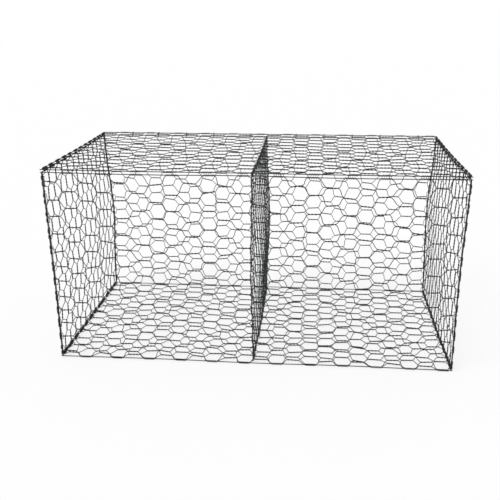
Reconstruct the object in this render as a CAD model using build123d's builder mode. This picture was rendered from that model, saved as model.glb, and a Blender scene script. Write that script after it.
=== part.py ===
from build123d import *
import os
from math import ceil, hypot, sqrt

# Empty gabion basket: a box of double-twisted hexagonal wire mesh with two cells and a hinged lid.
# Millimetres. X runs along the wall, Y from front to back, Z up. The origin is the middle of the underside.

# Size of the basket over its edges
length = 2000.0
depth = 1000.0
height = 1000.0

# Wire
mesh_wire = 3.7
selvedge_wire = 4.4
ring_wire = 3.0

# Mesh, as pairs of wires twisted together that part and meet the next pair, with two real meshes to a cell
mesh_pitch = 166.0
mesh_opening = 166.0
twist_share = 0.7

# Clearances
lay_clearance = 0.1
ring_clearance = 0.1
slant_clearance = 0.9
hinge_clearance = 0.7
lid_clearance = 1.0
hanging_clearance = 5.0

# Rings that tie two wires: how far their inside corners are cut off, how far apart the rings are at
# most, and how far one may move to miss a bar
ring_corner = 0.8
ring_spacing = 200.0
ring_shift = 100

# Room that one edge takes: its wire with the mesh wire wound round it, or with a ring round it
mesh_thickness = 2 * mesh_wire
half_mesh = mesh_thickness / 2
selvedge_radius = selvedge_wire / 2
wound_radius = selvedge_radius + mesh_wire
ring_reach = selvedge_radius + ring_clearance + ring_wire
edge_step = 2 * wound_radius + lay_clearance
mesh_step = half_mesh + wound_radius + lay_clearance

# Planes and wire axes of the outer box
end_x = length / 2 - wound_radius
front_y = -(depth / 2 - wound_radius)
back_y = -front_y
base_z = max(wound_radius, ring_reach) + lay_clearance
lid_z = height - wound_radius
top_z = lid_z - 2 * wound_radius - lid_clearance
lid_back_y = back_y + mesh_thickness + hanging_clearance

# Wire axes of the ends, beside the outer box's own edges, and of the diaphragm, against its meshes
end_y = back_y - edge_step
end_foot_z = base_z + edge_step
diaphragm_y = back_y - mesh_step
diaphragm_foot_z = half_mesh + mesh_step

# Least distance from a ring's middle to the foot of a bar that leans towards it, and a length too
# small to matter
ring_to_bar = mesh_wire + 2.25 * ring_wire
tiny = 0.001

os.makedirs("parts", exist_ok=True)


class Panel:
    """A flat mesh between four edge wires: its plane, and how many twists and rows fill it."""

    def __init__(self, name, middle, twist_dir, normal, along, across, cut_twists=False):
        self.name = name
        self.plane = Plane(origin=middle, x_dir=twist_dir, z_dir=normal)
        self.along_middle = self.plane.origin.dot(self.plane.x_dir)
        self.across_middle = self.plane.origin.dot(self.plane.y_dir)
        self.along = along - selvedge_wire
        self.across = across - selvedge_wire
        self.columns = 2 * round(self.along / mesh_pitch / 2)
        self.rows = round(self.across / mesh_opening)
        self.pitch = self.along / self.columns
        self.row = self.across / self.rows
        self.twist = twist_share * self.pitch
        # The first column starts half a pitch in, or is itself cut at the middle of its twists
        self.first = 0.0 if cut_twists else 0.5

    def column_at(self, number):
        return -self.along / 2 + (number + self.first) * self.pitch

    def row_at(self, number):
        return -self.across / 2 + number * self.row

    def hole_corners(self):
        """Six-sided hole: flat along the twists, pointed where two single wires meet the next twist."""
        rise = self.row / 2
        run = self.pitch - self.twist
        tip = self.pitch - self.twist / 2 - mesh_wire / 2 * hypot(run, rise) / rise
        flat = rise - mesh_wire
        side = tip - run * flat / rise
        return [(side, flat), (tip, 0), (side, -flat), (-side, -flat), (-tip, 0), (-side, flat)]

    def slant_fit(self):
        """Room across a single wire, or across an edge wire if that is thicker, for a ring round both."""
        rise = self.row / 2
        run = self.pitch - self.twist
        across_slant = (mesh_wire * hypot(run, rise) + ring_wire * run) / rise
        return max(selvedge_wire, across_slant) + 2 * slant_clearance

    def holes(self):
        """Centres of the holes that lie inside the panel, and of those that its edges cut."""
        inner, cut = [], []
        tip = self.hole_corners()[1][0]
        for number in range(-1, self.columns + 2):
            shift = 0.5 if number % 2 == 0 else 0.0
            for k in range(self.rows + 1):
                u, v = self.column_at(number), self.row_at(k + shift)
                if abs(u) + tip < self.along / 2 and abs(v) + self.row / 2 < self.across / 2 + tiny:
                    inner.append((u, v))
                elif abs(u) - tip < self.along / 2 and abs(v) < self.across / 2 + tiny:
                    cut.append((u, v))
        return inner, cut

    def gap_at_end(self, place):
        """How far a place on an end is from the bars that meet it there."""
        shift = 0.0 if self.first == 0 else 0.25
        step = 1.0 if self.first == 0 else 0.5
        ends = [self.row_at(k * step + shift) for k in range(ceil(self.rows / step) + 1)]
        return min(abs(place - self.across_middle - at) for at in ends)

    def gap_at_side(self, place):
        """How far a place on a side is from the twists that lie along it, and from the side's ends."""
        twists = [self.column_at(number) for number in range(0, self.columns + 1, 2)]
        to_end = self.along / 2 - abs(place - self.along_middle)
        return min(to_end, min(abs(place - self.along_middle - at) for at in twists) - self.twist / 2)


# Panels of the continuous sheet: front, base and back, and the lid
wall_high = top_z - base_z
wall_middle_z = (top_z + base_z) / 2
lid_middle_y = (front_y + lid_back_y) / 2
front = Panel("front_mesh", (0, front_y, wall_middle_z), (1, 0, 0), (0, -1, 0), 2 * end_x, wall_high)
back = Panel("back_mesh", (0, back_y, wall_middle_z), (1, 0, 0), (0, -1, 0), 2 * end_x, wall_high)
base = Panel("base_mesh", (0, 0, half_mesh), (1, 0, 0), (0, 0, 1), 2 * end_x, 2 * back_y)
lid = Panel("lid_mesh", (0, lid_middle_y, lid_z), (1, 0, 0), (0, 0, 1), 2 * end_x, lid_back_y - front_y)

# Panels that stand across it, with upright twists
end_middle_z = (top_z + end_foot_z) / 2
end_high = top_z - end_foot_z
left_end = Panel("left_end_mesh", (-end_x, 0, end_middle_z), (0, 0, 1), (1, 0, 0), end_high, 2 * end_y)
right_end = Panel("right_end_mesh", (end_x, 0, end_middle_z), (0, 0, 1), (1, 0, 0), end_high, 2 * end_y)
diaphragm_middle_z = (top_z + diaphragm_foot_z) / 2
diaphragm = Panel("diaphragm_mesh", (0, 0, diaphragm_middle_z), (0, 0, 1), (1, 0, 0),
                  top_z - diaphragm_foot_z, 2 * diaphragm_y, cut_twists=True)


def spread(middle, reach):
    """Even places along an edge of this reach about its middle, no further apart than the ring spacing."""
    count = ceil(reach / ring_spacing)
    return [middle + ((k + 0.5) / count - 0.5) * reach for k in range(count)]


def clear_places(middle, reach, *gaps):
    """The even places, each moved to the nearest one where a ring meets no bar of either mesh."""
    places = []
    for place in spread(middle, reach):
        near = sorted((place + shift for shift in range(-ring_shift, ring_shift + 1)),
                      key=lambda at: abs(at - place))
        places.append(next((at for at in near if min(gap(at) for gap in gaps) > ring_to_bar), place))
    return places


def slant_places(carrier, middle, reach, gap):
    """The single wires across the middle of the carrier that lie nearest to the even places."""
    slants = [carrier.across_middle + carrier.row_at(k / 2 + 0.25) for k in range(2 * carrier.rows)]
    free = [at for at in slants if gap(at) > ring_to_bar]
    return [min(free, key=lambda at: abs(at - place)) for place in spread(middle, reach)]


# The diaphragm's foot is tied down at single wires of the base, with room under each for a ring
foot_ring_ys = slant_places(base, 0, 2 * diaphragm_y, diaphragm.gap_at_end)
foot_ring_top = ring_clearance + ring_wire
foot_notch_top = foot_ring_top + ring_clearance
notch_length = base.slant_fit() + 2 * (ring_wire + ring_clearance)


def write(piece, name):
    piece.part.label = name
    export_step(piece.part, "parts/" + name + ".step")


# Meshes, each one lattice of bars fused where the wires twist together
for panel in (front, back, base, lid, left_end, right_end, diaphragm):
    inner, cut = panel.holes()
    with BuildSketch() as outline:
        Rectangle(panel.along, panel.across)
        with Locations(*cut):
            Polygon(*panel.hole_corners(), align=None, mode=Mode.SUBTRACT)
    hole_wires = [Wire.make_polygon([(u + x, v + y, 0) for x, y in panel.hole_corners()]) for u, v in inner]
    net = panel.plane.offset(-half_mesh) * Face(outline.sketch.face().outer_wire(), hole_wires)
    with BuildPart() as mesh:
        extrude(net, amount=mesh_thickness, dir=panel.plane.z_dir)
        if panel is base:
            with Locations(*[(0, y, foot_notch_top / 2) for y in foot_ring_ys]):
                Box(notch_length, ring_wire + 2 * ring_clearance, foot_notch_top, mode=Mode.SUBTRACT)
    write(mesh, panel.name)


def edge_wire(name, start, end):
    """Straight round wire along a panel's edge, from one axis point to the other."""
    run = Vector(*end) - Vector(*start)
    with BuildPart() as wire:
        with BuildSketch(Plane(origin=start, z_dir=run)):
            Circle(selvedge_radius)
        extrude(amount=run.length)
    write(wire, name)


# Long edge wires, from end to end of the basket
for name, y, z in (
    ("front_bottom_wire", front_y, base_z),
    ("front_top_wire", front_y, top_z),
    ("back_bottom_wire", back_y, base_z),
    ("back_top_wire", back_y, top_z),
    ("lid_front_wire", front_y, lid_z),
    ("lid_back_wire", lid_back_y, lid_z),
):
    edge_wire(name, (-length / 2, y, z), (length / 2, y, z))

# Wires between the long ones, at both ends of the front, base, back and lid
for side, x in (("left", -end_x), ("right", end_x)):
    for wall, y in (("front", front_y), ("back", back_y)):
        edge_wire(wall + "_" + side + "_wire",
                  (x, y, base_z + selvedge_radius), (x, y, top_z - selvedge_radius))
    edge_wire("base_" + side + "_wire",
              (x, front_y + selvedge_radius, base_z), (x, back_y - selvedge_radius, base_z))
    edge_wire("lid_" + side + "_wire",
              (x, front_y + selvedge_radius, lid_z), (x, lid_back_y - selvedge_radius, lid_z))

# Wires round the two ends and the diaphragm
for panel_name, x, side_y, foot_z in (
    ("left_end", -end_x, end_y, end_foot_z),
    ("right_end", end_x, end_y, end_foot_z),
    ("diaphragm", 0, diaphragm_y, diaphragm_foot_z),
):
    full_y = side_y + selvedge_radius
    edge_wire(panel_name + "_bottom_wire", (x, -full_y, foot_z), (x, full_y, foot_z))
    edge_wire(panel_name + "_top_wire", (x, -full_y, top_z), (x, full_y, top_z))
    for wall, y in (("front", -side_y), ("back", side_y)):
        edge_wire(panel_name + "_" + wall + "_wire",
                  (x, y, foot_z + selvedge_radius), (x, y, top_z - selvedge_radius))


def rings(name, planes, inside_length, inside_width):
    """Closed rings of wire, one on each plane, each a long eight-sided link round two things that it ties."""
    outside_corner = ring_corner + (2 - sqrt(2)) * ring_wire
    with BuildPart() as row:
        for plane in planes:
            with BuildSketch(plane.offset(-ring_wire / 2)):
                link = Rectangle(inside_length + 2 * ring_wire, inside_width + 2 * ring_wire)
                chamfer(link.vertices(), length=outside_corner)
                offset(amount=-ring_wire, kind=Kind.INTERSECTION, mode=Mode.SUBTRACT)
            extrude(amount=ring_wire)
    write(row, name)


wire_fit = selvedge_wire + 2 * ring_clearance

# Upright corners: a front or back wire tied to the end panel's wire beside it
corner_zs = clear_places(end_middle_z, end_high, front.gap_at_end, left_end.gap_at_side)
for side, x in (("left", -end_x), ("right", end_x)):
    for wall, outer_y, wire_y in (("front", front_y, -end_y), ("back", back_y, end_y)):
        middle_y = (outer_y + wire_y) / 2
        rings(wall + "_" + side + "_rings",
              [Plane(origin=(x, middle_y, z), x_dir=(0, 1, 0), z_dir=(0, 0, 1)) for z in corner_zs],
              edge_step + wire_fit, wire_fit)

# Foot of each end: its bottom wire tied to the base's wire below it
for side, x in (("left", -end_x), ("right", end_x)):
    middle_z = (base_z + end_foot_z) / 2
    rings("base_" + side + "_rings",
          [Plane(origin=(x, y, middle_z), x_dir=(0, 0, 1), z_dir=(0, 1, 0))
           for y in clear_places(0, 2 * end_y, base.gap_at_end, left_end.gap_at_end)],
          edge_step + wire_fit, wire_fit)

# Sides of the diaphragm: its upright wires tied to single wires of the front and back mesh
tie_length = half_mesh + mesh_step + selvedge_radius + 2 * ring_clearance
for wall, facing in (("front", -1), ("back", 1)):
    middle_y = facing * (back_y + half_mesh + ring_clearance - tie_length / 2)
    rings("diaphragm_" + wall + "_rings",
          [Plane(origin=(0, middle_y, z), x_dir=(0, 1, 0), z_dir=(0, 0, 1))
           for z in slant_places(front, diaphragm_middle_z, diaphragm.along, diaphragm.gap_at_side)],
          tie_length, front.slant_fit())

# Foot of the diaphragm: its bottom wire tied to single wires of the base
foot_tie_length = diaphragm_foot_z + selvedge_radius + ring_clearance - foot_ring_top
rings("diaphragm_bottom_rings",
      [Plane(origin=(0, y, foot_ring_top + foot_tie_length / 2), x_dir=(0, 0, 1), z_dir=(0, 1, 0))
       for y in foot_ring_ys],
      foot_tie_length, base.slant_fit())

# Hinge: rings that hold the back's top wire, in which the lid's back wire turns, clear of the single
# wires that lean over them from the twists beside them
hinge_offset = Vector(0, lid_back_y - back_y, lid_z - top_z)
hinge_fit = selvedge_wire + 2 * hinge_clearance
hinge_reach = hinge_offset.length + hinge_fit / 2 + ring_wire
hinge_lean = hinge_reach * 2 * (back.pitch - back.twist) / back.row
rings("lid_hinge_rings",
      [Plane(origin=Vector(x, back_y, top_z) + hinge_offset / 2, x_dir=hinge_offset, z_dir=(1, 0, 0))
       for x in clear_places(0, back.along, lambda at: back.gap_at_side(at) - hinge_lean)],
      hinge_offset.length + hinge_fit, hinge_fit)
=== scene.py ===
import math
import random
import bpy
from mathutils import Matrix, Vector, noise


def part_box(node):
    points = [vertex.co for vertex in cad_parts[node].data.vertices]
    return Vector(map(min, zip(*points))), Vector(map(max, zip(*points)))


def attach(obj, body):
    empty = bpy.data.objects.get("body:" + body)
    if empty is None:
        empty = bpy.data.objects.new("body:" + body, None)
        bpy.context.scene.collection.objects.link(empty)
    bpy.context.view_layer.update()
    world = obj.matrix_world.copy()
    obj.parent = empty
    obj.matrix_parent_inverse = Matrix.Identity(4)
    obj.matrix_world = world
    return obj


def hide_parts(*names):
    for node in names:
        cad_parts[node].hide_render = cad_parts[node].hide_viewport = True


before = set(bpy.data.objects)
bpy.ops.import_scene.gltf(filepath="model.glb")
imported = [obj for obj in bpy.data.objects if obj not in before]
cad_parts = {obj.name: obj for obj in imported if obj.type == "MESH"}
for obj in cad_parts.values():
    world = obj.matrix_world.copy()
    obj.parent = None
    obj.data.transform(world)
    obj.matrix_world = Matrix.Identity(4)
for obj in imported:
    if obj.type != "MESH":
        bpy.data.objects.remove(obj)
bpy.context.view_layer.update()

# Empty gabion basket of woven wire mesh. Metres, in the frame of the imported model.
X, Y, Z = 0, 1, 2

# The same slow bends and waves each time
LUCK_SEED = 41
noise.seed_set(LUCK_SEED)

# Wire of the mesh, and the mesh that it makes
MESH_RADIUS = 0.00185
MESH_PITCH = 0.0833
MESH_OPENING = 0.0833
TWIST_SHARE = 0.63
HALF_TURNS = 3
TWIST_STEPS = 9

# How the wires bend where they leave a twist
BEND_HANDLE = 0.015
BEND_STEPS = (0.12, 0.31, 0.5, 0.69, 0.88)

# How they wind round an edge wire: at a panel's side, where they turn back, and at its end, where they
# stop after an approach that has risen by this share of the winding's radius
WIND_STEPS = 8
BORDER_TURNS = 5
END_TURNS = 4.25
END_WIND_PITCH = 0.0041
END_APPROACH = 0.011
END_RISE = 0.4

# How uneven the weaving is: knots out of place, twists out of line, slow waves of the whole sheet, which
# grow to their full size over the first pitches from an edge, and the sway of its bulge
KNOT_SHIFT = 0.0040
TWIST_TILT = 0.075
WAVE_SHIFT = 0.0045
WAVE_LENGTH = 0.45
WAVE_START = 1.5
SWAY_SCALE = 1.3
SWAY_OFFSET = Vector((7, 3, 1))

# How much taller than the average the top rows of the front and back are, and how much shorter the
# bottom ones
HANGING = 0.095

# Edge wires: how finely they are drawn, how slowly they bend, which share of a bend is left to luck, and
# how far apart the luck of two wires lies
EDGE_STEP = 0.025
BEND_LENGTH = 0.35
BEND_LUCK = 0.4
LUCK_SPREAD = 3.7

# The luck of each edge wire, and how far it bends along X, Y and Z at most. Wires that lie beside each
# other bend alike, from the same luck, and the two that make the hinge stay straight.
EDGE_BENDS = {
    "front_bottom_wire": (1, (0, 0.006, 0.002)),
    "front_top_wire": (2, (0, 0.006, -0.008)),
    "lid_front_wire": (2, (0, 0.004, -0.003)),
    "back_bottom_wire": (3, (0, -0.006, 0.002)),
    "back_top_wire": (4, (0, 0, 0)),
    "lid_back_wire": (4, (0, 0, 0)),
    "front_left_wire": (5, (0.004, 0.005, 0)),
    "left_end_front_wire": (5, (0.004, 0.005, 0)),
    "front_right_wire": (6, (-0.009, 0.005, 0)),
    "right_end_front_wire": (6, (-0.009, 0.005, 0)),
    "back_left_wire": (7, (0.034, -0.004, 0)),
    "left_end_back_wire": (7, (0.034, -0.004, 0)),
    "back_right_wire": (8, (-0.032, -0.004, 0)),
    "right_end_back_wire": (8, (-0.032, -0.004, 0)),
    "base_left_wire": (9, (0.006, 0, 0.001)),
    "left_end_bottom_wire": (9, (0.006, 0, 0.003)),
    "base_right_wire": (10, (-0.006, 0, 0.001)),
    "right_end_bottom_wire": (10, (-0.006, 0, 0.003)),
    "lid_left_wire": (11, (0.006, 0, -0.002)),
    "left_end_top_wire": (11, (0.006, 0, -0.005)),
    "lid_right_wire": (12, (-0.006, 0, -0.002)),
    "right_end_top_wire": (12, (-0.006, 0, -0.005)),
    "diaphragm_bottom_wire": (13, (0.006, 0, 0)),
    "diaphragm_top_wire": (14, (0.005, 0, 0)),
    "diaphragm_front_wire": (15, (-0.011, 0, 0)),
    "diaphragm_back_wire": (16, (0.026, 0, 0)),
}

# Ties: their wire, how far its ends lap, how finely each half is drawn, how squarely it is bent, where 1
# would be round, and the play that a hinge ring leaves
RING_RADIUS = 0.0015
RING_LAP = 0.35
RING_STEPS = 12
RING_SQUARENESS = 0.55
HINGE_PLAY = 0.0007

# Least room from a tie to the mesh wires wound beside it, and how far it may move to find that room
RING_ROOM = 0.005
HINGE_ROOM = 0.022
RING_SEARCH = 0.06
SEARCH_STEP = 0.001

# Floor and light, where the glow is the share of plain white in what the camera sees of the floor
FLOOR_SIZE = 60
FLOOR_DROP = 0.0005
FLOOR_COLOUR = (0.9, 0.9, 0.9)
FLOOR_GLOW = 0.72
WORLD_STRENGTH = 0.62
SUN_STRENGTH = 1.75
SUN_SPREAD = math.radians(40)
SUN_DIRECTION = (0.45, 0.5, -1.0)

# Camera, as the photograph was taken: place, direction, lean and lens fitted to the basket's corners
CAMERA_PLACE = (0.292, -3.475, 1.710)
CAMERA_AZIMUTH = math.radians(-4.49)
CAMERA_ELEVATION = math.radians(-20.02)
CAMERA_ROLL = math.radians(-0.06)
CAMERA_LENS = 47.95
CAMERA_SENSOR = 36
CAMERA_SHIFT = -0.028

lid_front_low, lid_front_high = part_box("lid_front_wire")
EDGE_RADIUS = (lid_front_high.z - lid_front_low.z) / 2
WIND_RADIUS = EDGE_RADIUS + MESH_RADIUS


def centre(node):
    low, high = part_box(node)
    return (low + high) / 2


def unit_way(axis):
    return Vector([1.0 if k == axis else 0.0 for k in range(3)])


def body_of(node):
    """The lid's own mesh and wires turn with it, and its hinge rings stay on the basket."""
    return "lid" if node.startswith("lid_") and node != "lid_hinge_rings" else "basket"


class Edge:
    """An edge wire: where it runs, the slow bends in it, and where mesh wires are wound round it."""

    def __init__(self, name):
        self.name = name
        self.low, self.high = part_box(name)
        self.axis = max(range(3), key=lambda k: self.high[k] - self.low[k])
        self.seed, self.bend = EDGE_BENDS[name]
        # The long wires are held at their middle too, where the diaphragm meets them
        self.spans = 2 if self.axis == X else 1
        self.winds = []

    def shift(self, at):
        """How far out of line the wire is at this place along it."""
        share = (at - self.low[self.axis]) / (self.high[self.axis] - self.low[self.axis])
        hold = math.sin(math.pi * self.spans * max(0.0, min(1.0, share))) ** 2
        luck = noise.noise_vector(Vector((at / BEND_LENGTH, LUCK_SPREAD * self.seed, 0.5)))
        return Vector([hold * self.bend[k] * (1 - BEND_LUCK + BEND_LUCK * luck[k]) for k in range(3)])

    def way(self):
        """The wire's points from end to end."""
        start, end = self.low[self.axis], self.high[self.axis]
        count = round((end - start) / EDGE_STEP)
        points = []
        for step in range(count + 1):
            at = start + (end - start) * step / count
            point = (self.low + self.high) / 2
            point[self.axis] = at
            points.append(point + self.shift(at))
        return points

    def room(self, at):
        """Distance from this place to the nearest wire wound round the edge, or a metre without any."""
        return min((max(start - at, at - end, 0.0) for start, end in self.winds), default=1.0)


class Panel:
    """The sheet between four edge wires: where it lies, and how many twists and rows fill it."""

    def __init__(self, name, along, across, ends, sides, inward, bulge, rest=0.0, hanging=0.0):
        self.name = name
        self.axes = (along, across, 3 - along - across)
        self.ends = [edges[end] for end in ends]
        self.sides = [edges[side] for side in sides]
        first, last = centre(ends[0]), centre(ends[1])
        low, high = centre(sides[0]), centre(sides[1])
        self.corner = Vector((0, 0, 0))
        self.corner[along] = first[along]
        self.corner[across] = low[across]
        self.corner[self.axes[2]] = low[self.axes[2]]
        self.length = last[along] - first[along]
        self.width = high[across] - low[across]
        self.inward = inward
        self.bulge = bulge
        self.rest = rest
        self.hanging = hanging
        # The long panels are held at the middle of their length too, where the diaphragm is tied
        self.spans = 2 if along == X else 1
        self.columns = 2 * round(self.length / MESH_PITCH / 2)
        self.rows = round(self.width / MESH_OPENING)
        self.pitch = self.length / self.columns
        self.twist = TWIST_SHARE * self.pitch
        self.luck = random.Random(name)
        self.knots = {}
        self.ways = []

    def edge_shift(self, u, v):
        """How far the bends of the four edge wires pull the sheet at this place."""
        along, across = self.corner[self.axes[0]] + u, self.corner[self.axes[1]] + v
        total = Vector((0, 0, 0))
        for edge, away in ((self.ends[0], u), (self.ends[1], self.length - u)):
            total += edge.shift(across) * max(0.0, 1 - self.spans * away / self.length)
        for edge, away in ((self.sides[0], v), (self.sides[1], self.width - v)):
            total += edge.shift(along) * (1 - away / self.width)
        return total

    def place(self, u, v, n):
        """A point of the flat sheet, moved by its slow waves and its edges, in the model's frame."""
        edge = min(u, self.length - u, v, self.width - v) / (WAVE_START * self.pitch)
        hold = max(0.0, min(1.0, edge))
        hold = hold * hold * (3 - 2 * hold)
        at = Vector((u / WAVE_LENGTH, v / WAVE_LENGTH, len(self.name)))
        drift = noise.noise_vector(at) * WAVE_SHIFT * hold
        crown = math.sin(self.spans * math.pi * u / self.length) ** 2 * math.sin(math.pi * v / self.width)
        sway = 0.5 + 0.5 * noise.noise(at * SWAY_SCALE + SWAY_OFFSET)
        point = self.corner.copy()
        point[self.axes[0]] += u + drift.x
        point[self.axes[1]] += v + drift.y
        point[self.axes[2]] += self.inward * (n + self.rest * hold + self.bulge * crown * sway)
        return point + self.edge_shift(u, v)

    def level_at(self, level):
        """Place of a level across the panel, where two levels make a row."""
        share = level / (2 * self.rows)
        return self.width * (share - self.hanging * math.sin(math.pi * share) / math.pi)

    def knot(self, column, level):
        """Middle and tilt of the twist at this column and level, the same for both of its wires."""
        if (column, level) not in self.knots:
            u = (column + 0.5) * self.pitch + self.luck.gauss(0, KNOT_SHIFT)
            v = self.level_at(level)
            tilt = 0.0
            if 0 < level < 2 * self.rows:
                v += self.luck.gauss(0, KNOT_SHIFT)
                tilt = self.luck.gauss(0, TWIST_TILT)
            self.knots[column, level] = (u, v, tilt)
        return self.knots[column, level]


def twisted(panel, knot, climb):
    """One wire's way through a twist, climbing (1) or falling (-1) round the other wire."""
    u, v, tilt = knot
    turn = math.pi if climb > 0 else 0.0
    points = []
    for step in range(TWIST_STEPS + 1):
        share = step / TWIST_STEPS
        angle = turn + HALF_TURNS * math.pi * share
        run = (share - 0.5) * panel.twist
        points.append((u + run, v + tilt * run + MESH_RADIUS * math.cos(angle),
                       MESH_RADIUS * math.sin(angle)))
    return points


def wound_on_side(panel, knot, inside):
    """One wire's way round the edge wire at a side of the panel, where it turns back."""
    u, v = knot[:2]
    start = panel.corner[panel.axes[0]] + u - panel.twist / 2
    panel.sides[0 if inside > 0 else 1].winds.append((start, start + panel.twist))
    steps = WIND_STEPS * BORDER_TURNS
    points = []
    for step in range(steps + 1):
        share = step / steps
        angle = 2 * math.pi * BORDER_TURNS * share
        run = (share - 0.5) * panel.twist
        points.append((u + run, v + inside * WIND_RADIUS * math.cos(angle),
                       WIND_RADIUS * math.sin(angle)))
    return points


def wound_on_end(panel, v, at_start, drift):
    """A wire's last stretch, over the edge wire at an end of the panel and round it."""
    u = 0.0 if at_start else panel.length
    inside = 1 if at_start else -1
    start = panel.corner[panel.axes[1]] + v
    reach = start + drift * END_WIND_PITCH * END_TURNS
    panel.ends[0 if at_start else 1].winds.append((min(start, reach), max(start, reach)))
    points = [(u + inside * END_APPROACH, v, END_RISE * WIND_RADIUS)]
    for step in range(round(WIND_STEPS * END_TURNS) + 1):
        share = step / WIND_STEPS
        angle = 2 * math.pi * share
        points.append((u - inside * WIND_RADIUS * math.sin(angle), v + drift * END_WIND_PITCH * share,
                       WIND_RADIUS * math.cos(angle)))
    return points


def slant(start, end):
    """The single wire between two twists, bent where it leaves the one and meets the other."""
    points = []
    for t in BEND_STEPS:
        a, b, c, d = (1 - t) ** 3, 3 * t * (1 - t) ** 2, 3 * t * t * (1 - t), t ** 3
        u = (a + b) * start[0] + (c + d) * end[0] + (b - c) * BEND_HANDLE
        v = (a + b) * start[1] + (c + d) * end[1]
        n = (a + b) * start[2] + (c + d) * end[2]
        points.append((u, v, n))
    return points


def wire_way(panel, level, climb):
    """The points of one wire through the whole panel, from end to end."""
    start_v = panel.level_at(level - climb / 2) + panel.luck.gauss(0, KNOT_SHIFT)
    points = wound_on_end(panel, start_v, True, climb)[::-1]
    for column in range(panel.columns):
        knot = panel.knot(column, level)
        if level in (0, 2 * panel.rows):
            climb = 1 if level == 0 else -1
            stretch = wound_on_side(panel, knot, climb)
        else:
            stretch = twisted(panel, knot, climb)
        if column:
            points += slant(points[-1], stretch[0])
        points += stretch
        level += climb
    end_v = panel.level_at(level - climb / 2) + panel.luck.gauss(0, KNOT_SHIFT)
    return points + wound_on_end(panel, end_v, False, climb)


def wires_to_mesh(name, ways, radius, material, roundness=1):
    """Round wires along the given ways, as one mesh."""
    curve = bpy.data.curves.new(name, "CURVE")
    curve.dimensions = "3D"
    curve.bevel_depth = radius
    curve.bevel_resolution = roundness
    curve.use_fill_caps = True
    curve.materials.append(material)
    for way in ways:
        spline = curve.splines.new("POLY")
        spline.points.add(len(way) - 1)
        spline.use_smooth = True
        for point, place in zip(spline.points, way):
            point.co = (*place, 1)
    piece = bpy.data.objects.new(name, curve)
    bpy.context.scene.collection.objects.link(piece)
    bpy.ops.object.select_all(action="DESELECT")
    piece.select_set(True)
    bpy.context.view_layer.objects.active = piece
    bpy.ops.object.convert(target="MESH")
    return bpy.context.view_layer.objects.active


def stand_for(piece, node):
    """Sets a finished piece on its node's body, in the place of the plain node."""
    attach(piece, body_of(node))
    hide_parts(node)


def weave(panel):
    """The double-twisted mesh of one panel, which stands for its plain lattice."""
    for level in range(1, 2 * panel.rows, 2):
        for climb in (1, -1):
            panel.ways.append([panel.place(*point) for point in wire_way(panel, level, climb)])
    piece = wires_to_mesh("woven_" + panel.name, panel.ways, MESH_RADIUS, mesh_coat)
    stand_for(piece, panel.name)


def bend_edge(edge):
    """The edge wire with its slow bends, which stands for the straight one."""
    piece = wires_to_mesh("bent_" + edge.name, [edge.way()], EDGE_RADIUS, edge_coat, roundness=4)
    stand_for(piece, edge.name)


def ring_places(node, axis):
    """Middle of each ring of a node along the wires that they tie."""
    marks = sorted(vertex.co[axis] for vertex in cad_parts[node].data.vertices)
    groups = [[marks[0]]]
    for mark in marks[1:]:
        if mark - groups[-1][-1] > 4 * RING_RADIUS:
            groups.append([])
        groups[-1].append(mark)
    return [(group[0] + group[-1]) / 2 for group in groups]


def clear_place(at, tied, room):
    """The nearest place to this one with more than this room beside the windings on the tied wires."""
    reach = round(RING_SEARCH / SEARCH_STEP)
    tries = [at + step * SEARCH_STEP for step in range(-reach, reach)]
    tries.sort(key=lambda other: abs(other - at))
    return next((other for other in tries if min(edge.room(other) for edge in tied) > room), at)


def crossing(at, panel, edge):
    """The nearest place to this one where a wire of the mesh passes the edge wire tied to it."""
    found = []
    for way in panel.ways:
        for start, end in zip(way, way[1:]):
            if (start.x - edge.shift(start[edge.axis]).x) * (end.x - edge.shift(end[edge.axis]).x) < 0:
                found.append((start[edge.axis] + end[edge.axis]) / 2)
    clear = [other for other in found if edge.room(other) > RING_ROOM]
    return min(clear, key=lambda other: abs(other - at))


def ring_way(middle, long_way, half_length, half_width, axis, at):
    """A tie of bent wire round two wires that run along the axis, its ends lapped beside each other."""
    side_way = unit_way(axis).cross(long_way)
    steps = round(RING_STEPS * 2 * (1 + RING_LAP))
    points = []
    for step in range(steps + 1):
        angle = math.pi * (step / RING_STEPS - 0.5)
        far, wide = math.cos(angle), math.sin(angle)
        point = middle + long_way * half_length * math.copysign(abs(far) ** RING_SQUARENESS, far)
        point += side_way * half_width * math.copysign(abs(wide) ** RING_SQUARENESS, wide)
        point[axis] = at + (step / steps - 0.5) * 2 * RING_RADIUS
        points.append(point)
    return points


def tie(node, edge, places, long_way, half_length, half_width):
    """The rings of one node, which follow the bends of the edge wire that they hold."""
    ways = [ring_way(centre(node) + edge.shift(at), long_way, half_length, half_width, edge.axis, at)
            for at in places]
    stand_for(wires_to_mesh("wire_" + node, ways, RING_RADIUS, ring_coat), node)


def tie_flat(node, edge, places):
    """Rings as long and as wide as the node's own, which lie square to the basket."""
    low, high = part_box(node)
    shorter, longer = sorted((k for k in range(3) if k != edge.axis), key=lambda k: high[k] - low[k])
    tie(node, edge, places, unit_way(longer), (high[longer] - low[longer]) / 2 - RING_RADIUS,
        (high[shorter] - low[shorter]) / 2 - RING_RADIUS)


def tie_edges(node, name, beside):
    """Rings round two edge wires that lie beside each other, clear of the mesh wires wound on them."""
    tied = [edges[name], edges[beside]]
    places = [clear_place(at, tied, RING_ROOM) for at in ring_places(node, tied[0].axis)]
    tie_flat(node, tied[0], places)


def tie_to_mesh(node, name, mesh_name):
    """Rings round an edge wire and the wires of the mesh that pass it."""
    edge = edges[name]
    places = [crossing(at, panels[mesh_name], edge) for at in ring_places(node, edge.axis)]
    tie_flat(node, edge, places)


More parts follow.
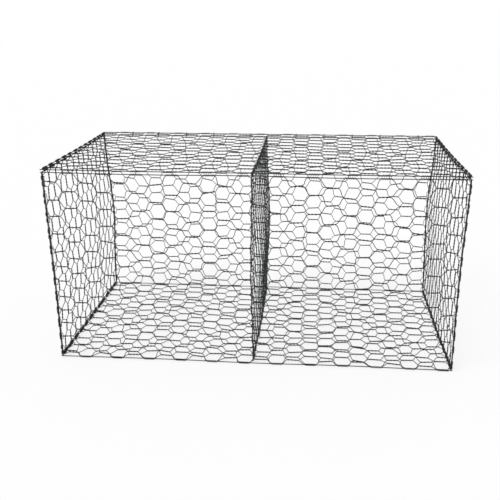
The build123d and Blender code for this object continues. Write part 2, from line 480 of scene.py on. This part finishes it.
def tie_hinge(node, name, beside):
    """Rings that lean from the one wire to the other, with play for the one that turns in them."""
    tied = [edges[name], edges[beside]]
    gap = centre(beside) - centre(name)
    half_width = EDGE_RADIUS + HINGE_PLAY + RING_RADIUS
    places = [clear_place(at, tied, HINGE_ROOM) for at in ring_places(node, X)]
    tie(node, tied[0], places, gap.normalized(), gap.length / 2 + half_width, half_width)


def coated_wire(name, colour, worn_colour, roughness, grain):
    """Dark coated wire: uneven colour, dull patches, and a fine unevenness of the coating."""
    material = bpy.data.materials.new(name)
    material.use_nodes = True
    nodes, links = material.node_tree.nodes, material.node_tree.links
    shader = nodes["Principled BSDF"]
    shader.inputs["IOR"].default_value = 1.335
    place = nodes.new("ShaderNodeTexCoord").outputs["Object"]

    patches = nodes.new("ShaderNodeTexNoise")
    patches.inputs["Scale"].default_value = 9.0
    patches.inputs["Detail"].default_value = 6.0
    patches.inputs["Roughness"].default_value = 0.62
    links.new(place, patches.inputs["Vector"])
    tint = nodes.new("ShaderNodeValToRGB")
    tint.color_ramp.elements[0].position = 0.36
    tint.color_ramp.elements[0].color = (*colour, 1)
    tint.color_ramp.elements[1].position = 0.72
    tint.color_ramp.elements[1].color = (*worn_colour, 1)
    links.new(patches.outputs["Fac"], tint.inputs["Fac"])
    links.new(tint.outputs["Color"], shader.inputs["Base Color"])

    fine = nodes.new("ShaderNodeTexNoise")
    fine.inputs["Scale"].default_value = grain
    fine.inputs["Detail"].default_value = 3.0
    links.new(place, fine.inputs["Vector"])
    gloss = nodes.new("ShaderNodeMapRange")
    gloss.inputs["To Min"].default_value = roughness - 0.12
    gloss.inputs["To Max"].default_value = roughness + 0.14
    links.new(fine.outputs["Fac"], gloss.inputs["Value"])
    links.new(gloss.outputs["Result"], shader.inputs["Roughness"])
    bump = nodes.new("ShaderNodeBump")
    bump.inputs["Strength"].default_value = 0.35
    bump.inputs["Distance"].default_value = 0.0004
    links.new(fine.outputs["Fac"], bump.inputs["Height"])
    links.new(bump.outputs["Normal"], shader.inputs["Normal"])
    return material


def seen_white(nodes, links):
    """1 for rays from the camera and for those that mirror or pass through, 0 for diffuse light."""
    path = nodes.new("ShaderNodeLightPath")
    total = path.outputs["Is Camera Ray"]
    for kind in ("Is Glossy Ray", "Is Transmission Ray"):
        larger = nodes.new("ShaderNodeMath")
        larger.operation = "MAXIMUM"
        links.new(total, larger.inputs[0])
        links.new(path.outputs[kind], larger.inputs[1])
        total = larger.outputs[0]
    return total


def floor():
    """Pale ground that the camera sees as nearly white, with the basket's shadow left on it."""
    bpy.ops.object.select_all(action="DESELECT")
    bpy.ops.mesh.primitive_plane_add(size=FLOOR_SIZE, location=(0, 0, -FLOOR_DROP))
    ground = bpy.context.active_object
    ground.name = "floor"
    material = bpy.data.materials.new("pale floor")
    material.use_nodes = True
    nodes, links = material.node_tree.nodes, material.node_tree.links
    shader = nodes["Principled BSDF"]
    shader.inputs["Base Color"].default_value = (*FLOOR_COLOUR, 1)
    shader.inputs["Roughness"].default_value = 0.9
    glow = nodes.new("ShaderNodeEmission")
    mix = nodes.new("ShaderNodeMixShader")
    share = nodes.new("ShaderNodeMath")
    share.operation = "MULTIPLY"
    share.inputs[1].default_value = FLOOR_GLOW
    links.new(seen_white(nodes, links), share.inputs[0])
    links.new(share.outputs[0], mix.inputs[0])
    links.new(shader.outputs[0], mix.inputs[1])
    links.new(glow.outputs[0], mix.inputs[2])
    links.new(mix.outputs[0], nodes["Material Output"].inputs["Surface"])
    ground.data.materials.append(material)


def world_light():
    """Even light from all round, which is white where it is seen or mirrored."""
    world = bpy.data.worlds.new("soft studio")
    bpy.context.scene.world = world
    world.use_nodes = True
    nodes, links = world.node_tree.nodes, world.node_tree.links
    background = nodes["Background"]
    background.inputs["Color"].default_value = (1, 1, 1, 1)
    strength = nodes.new("ShaderNodeMix")
    strength.data_type = "FLOAT"
    strength.inputs["A"].default_value = WORLD_STRENGTH
    strength.inputs["B"].default_value = 1.0
    links.new(seen_white(nodes, links), strength.inputs["Factor"])
    links.new(strength.outputs["Result"], background.inputs["Strength"])


def soft_sun():
    """One wide lamp from above, in front and to the left."""
    lamp = bpy.data.lights.new("soft sun", "SUN")
    lamp.energy = SUN_STRENGTH
    lamp.angle = SUN_SPREAD
    light = bpy.data.objects.new("soft sun", lamp)
    bpy.context.scene.collection.objects.link(light)
    light.rotation_euler = Vector(SUN_DIRECTION).to_track_quat("-Z", "Y").to_euler()


def photo_camera():
    """The camera, turned to its azimuth and elevation and then rolled about its line of sight."""
    forward = Vector((math.sin(CAMERA_AZIMUTH) * math.cos(CAMERA_ELEVATION),
                      math.cos(CAMERA_AZIMUTH) * math.cos(CAMERA_ELEVATION),
                      math.sin(CAMERA_ELEVATION)))
    level_right = Vector((math.cos(CAMERA_AZIMUTH), -math.sin(CAMERA_AZIMUTH), 0))
    right = level_right * math.cos(CAMERA_ROLL) + level_right.cross(forward) * math.sin(CAMERA_ROLL)
    turn = Matrix((right, right.cross(forward), -forward)).transposed()
    lens = bpy.data.cameras.new("camera")
    lens.lens = CAMERA_LENS
    lens.sensor_width = CAMERA_SENSOR
    lens.shift_x = CAMERA_SHIFT
    camera = bpy.data.objects.new("camera", lens)
    bpy.context.scene.collection.objects.link(camera)
    camera.matrix_world = Matrix.Translation(CAMERA_PLACE) @ turn.to_4x4()
    bpy.context.scene.camera = camera


mesh_coat = coated_wire("mesh wire coating", (0.009, 0.012, 0.011), (0.030, 0.035, 0.032), 0.58, 420)
edge_coat = coated_wire("edge wire coating", (0.006, 0.008, 0.008), (0.020, 0.024, 0.022), 0.56, 380)
ring_coat = coated_wire("ring wire coating", (0.010, 0.012, 0.012), (0.034, 0.038, 0.036), 0.52, 520)

edges = {name: Edge(name) for name in EDGE_BENDS}

# The four panels of the sheet, the two ends and the diaphragm. The base sinks to rest on the ground.
panels = {panel.name: panel for panel in (
    Panel("front_mesh", X, Z, ("front_left_wire", "front_right_wire"),
          ("front_bottom_wire", "front_top_wire"), inward=1, bulge=0.016, hanging=HANGING),
    Panel("back_mesh", X, Z, ("back_left_wire", "back_right_wire"),
          ("back_bottom_wire", "back_top_wire"), inward=-1, bulge=0.016, hanging=HANGING),
    Panel("base_mesh", X, Y, ("base_left_wire", "base_right_wire"),
          ("front_bottom_wire", "back_bottom_wire"), inward=1, bulge=0.010, rest=-0.0021),
    Panel("lid_mesh", X, Y, ("lid_left_wire", "lid_right_wire"),
          ("lid_front_wire", "lid_back_wire"), inward=-1, bulge=0.012),
    Panel("left_end_mesh", Z, Y, ("left_end_bottom_wire", "left_end_top_wire"),
          ("left_end_front_wire", "left_end_back_wire"), inward=1, bulge=0.016),
    Panel("right_end_mesh", Z, Y, ("right_end_bottom_wire", "right_end_top_wire"),
          ("right_end_front_wire", "right_end_back_wire"), inward=-1, bulge=0.016),
    Panel("diaphragm_mesh", Z, Y, ("diaphragm_bottom_wire", "diaphragm_top_wire"),
          ("diaphragm_front_wire", "diaphragm_back_wire"), inward=1, bulge=0.012),
)}
for panel in panels.values():
    weave(panel)
for edge in edges.values():
    bend_edge(edge)

# The ties, which find their places among the mesh wires
for side in ("left", "right"):
    for wall in ("front", "back"):
        tie_edges(f"{wall}_{side}_rings", f"{wall}_{side}_wire", f"{side}_end_{wall}_wire")
    tie_edges(f"base_{side}_rings", f"base_{side}_wire", f"{side}_end_bottom_wire")
for wall in ("front", "back"):
    tie_to_mesh(f"diaphragm_{wall}_rings", f"diaphragm_{wall}_wire", f"{wall}_mesh")
tie_to_mesh("diaphragm_bottom_rings", "diaphragm_bottom_wire", "base_mesh")
tie_hinge("lid_hinge_rings", "back_top_wire", "lid_back_wire")

floor()
world_light()
soft_sun()
photo_camera()
bpy.context.scene.view_settings.view_transform = "Standard"
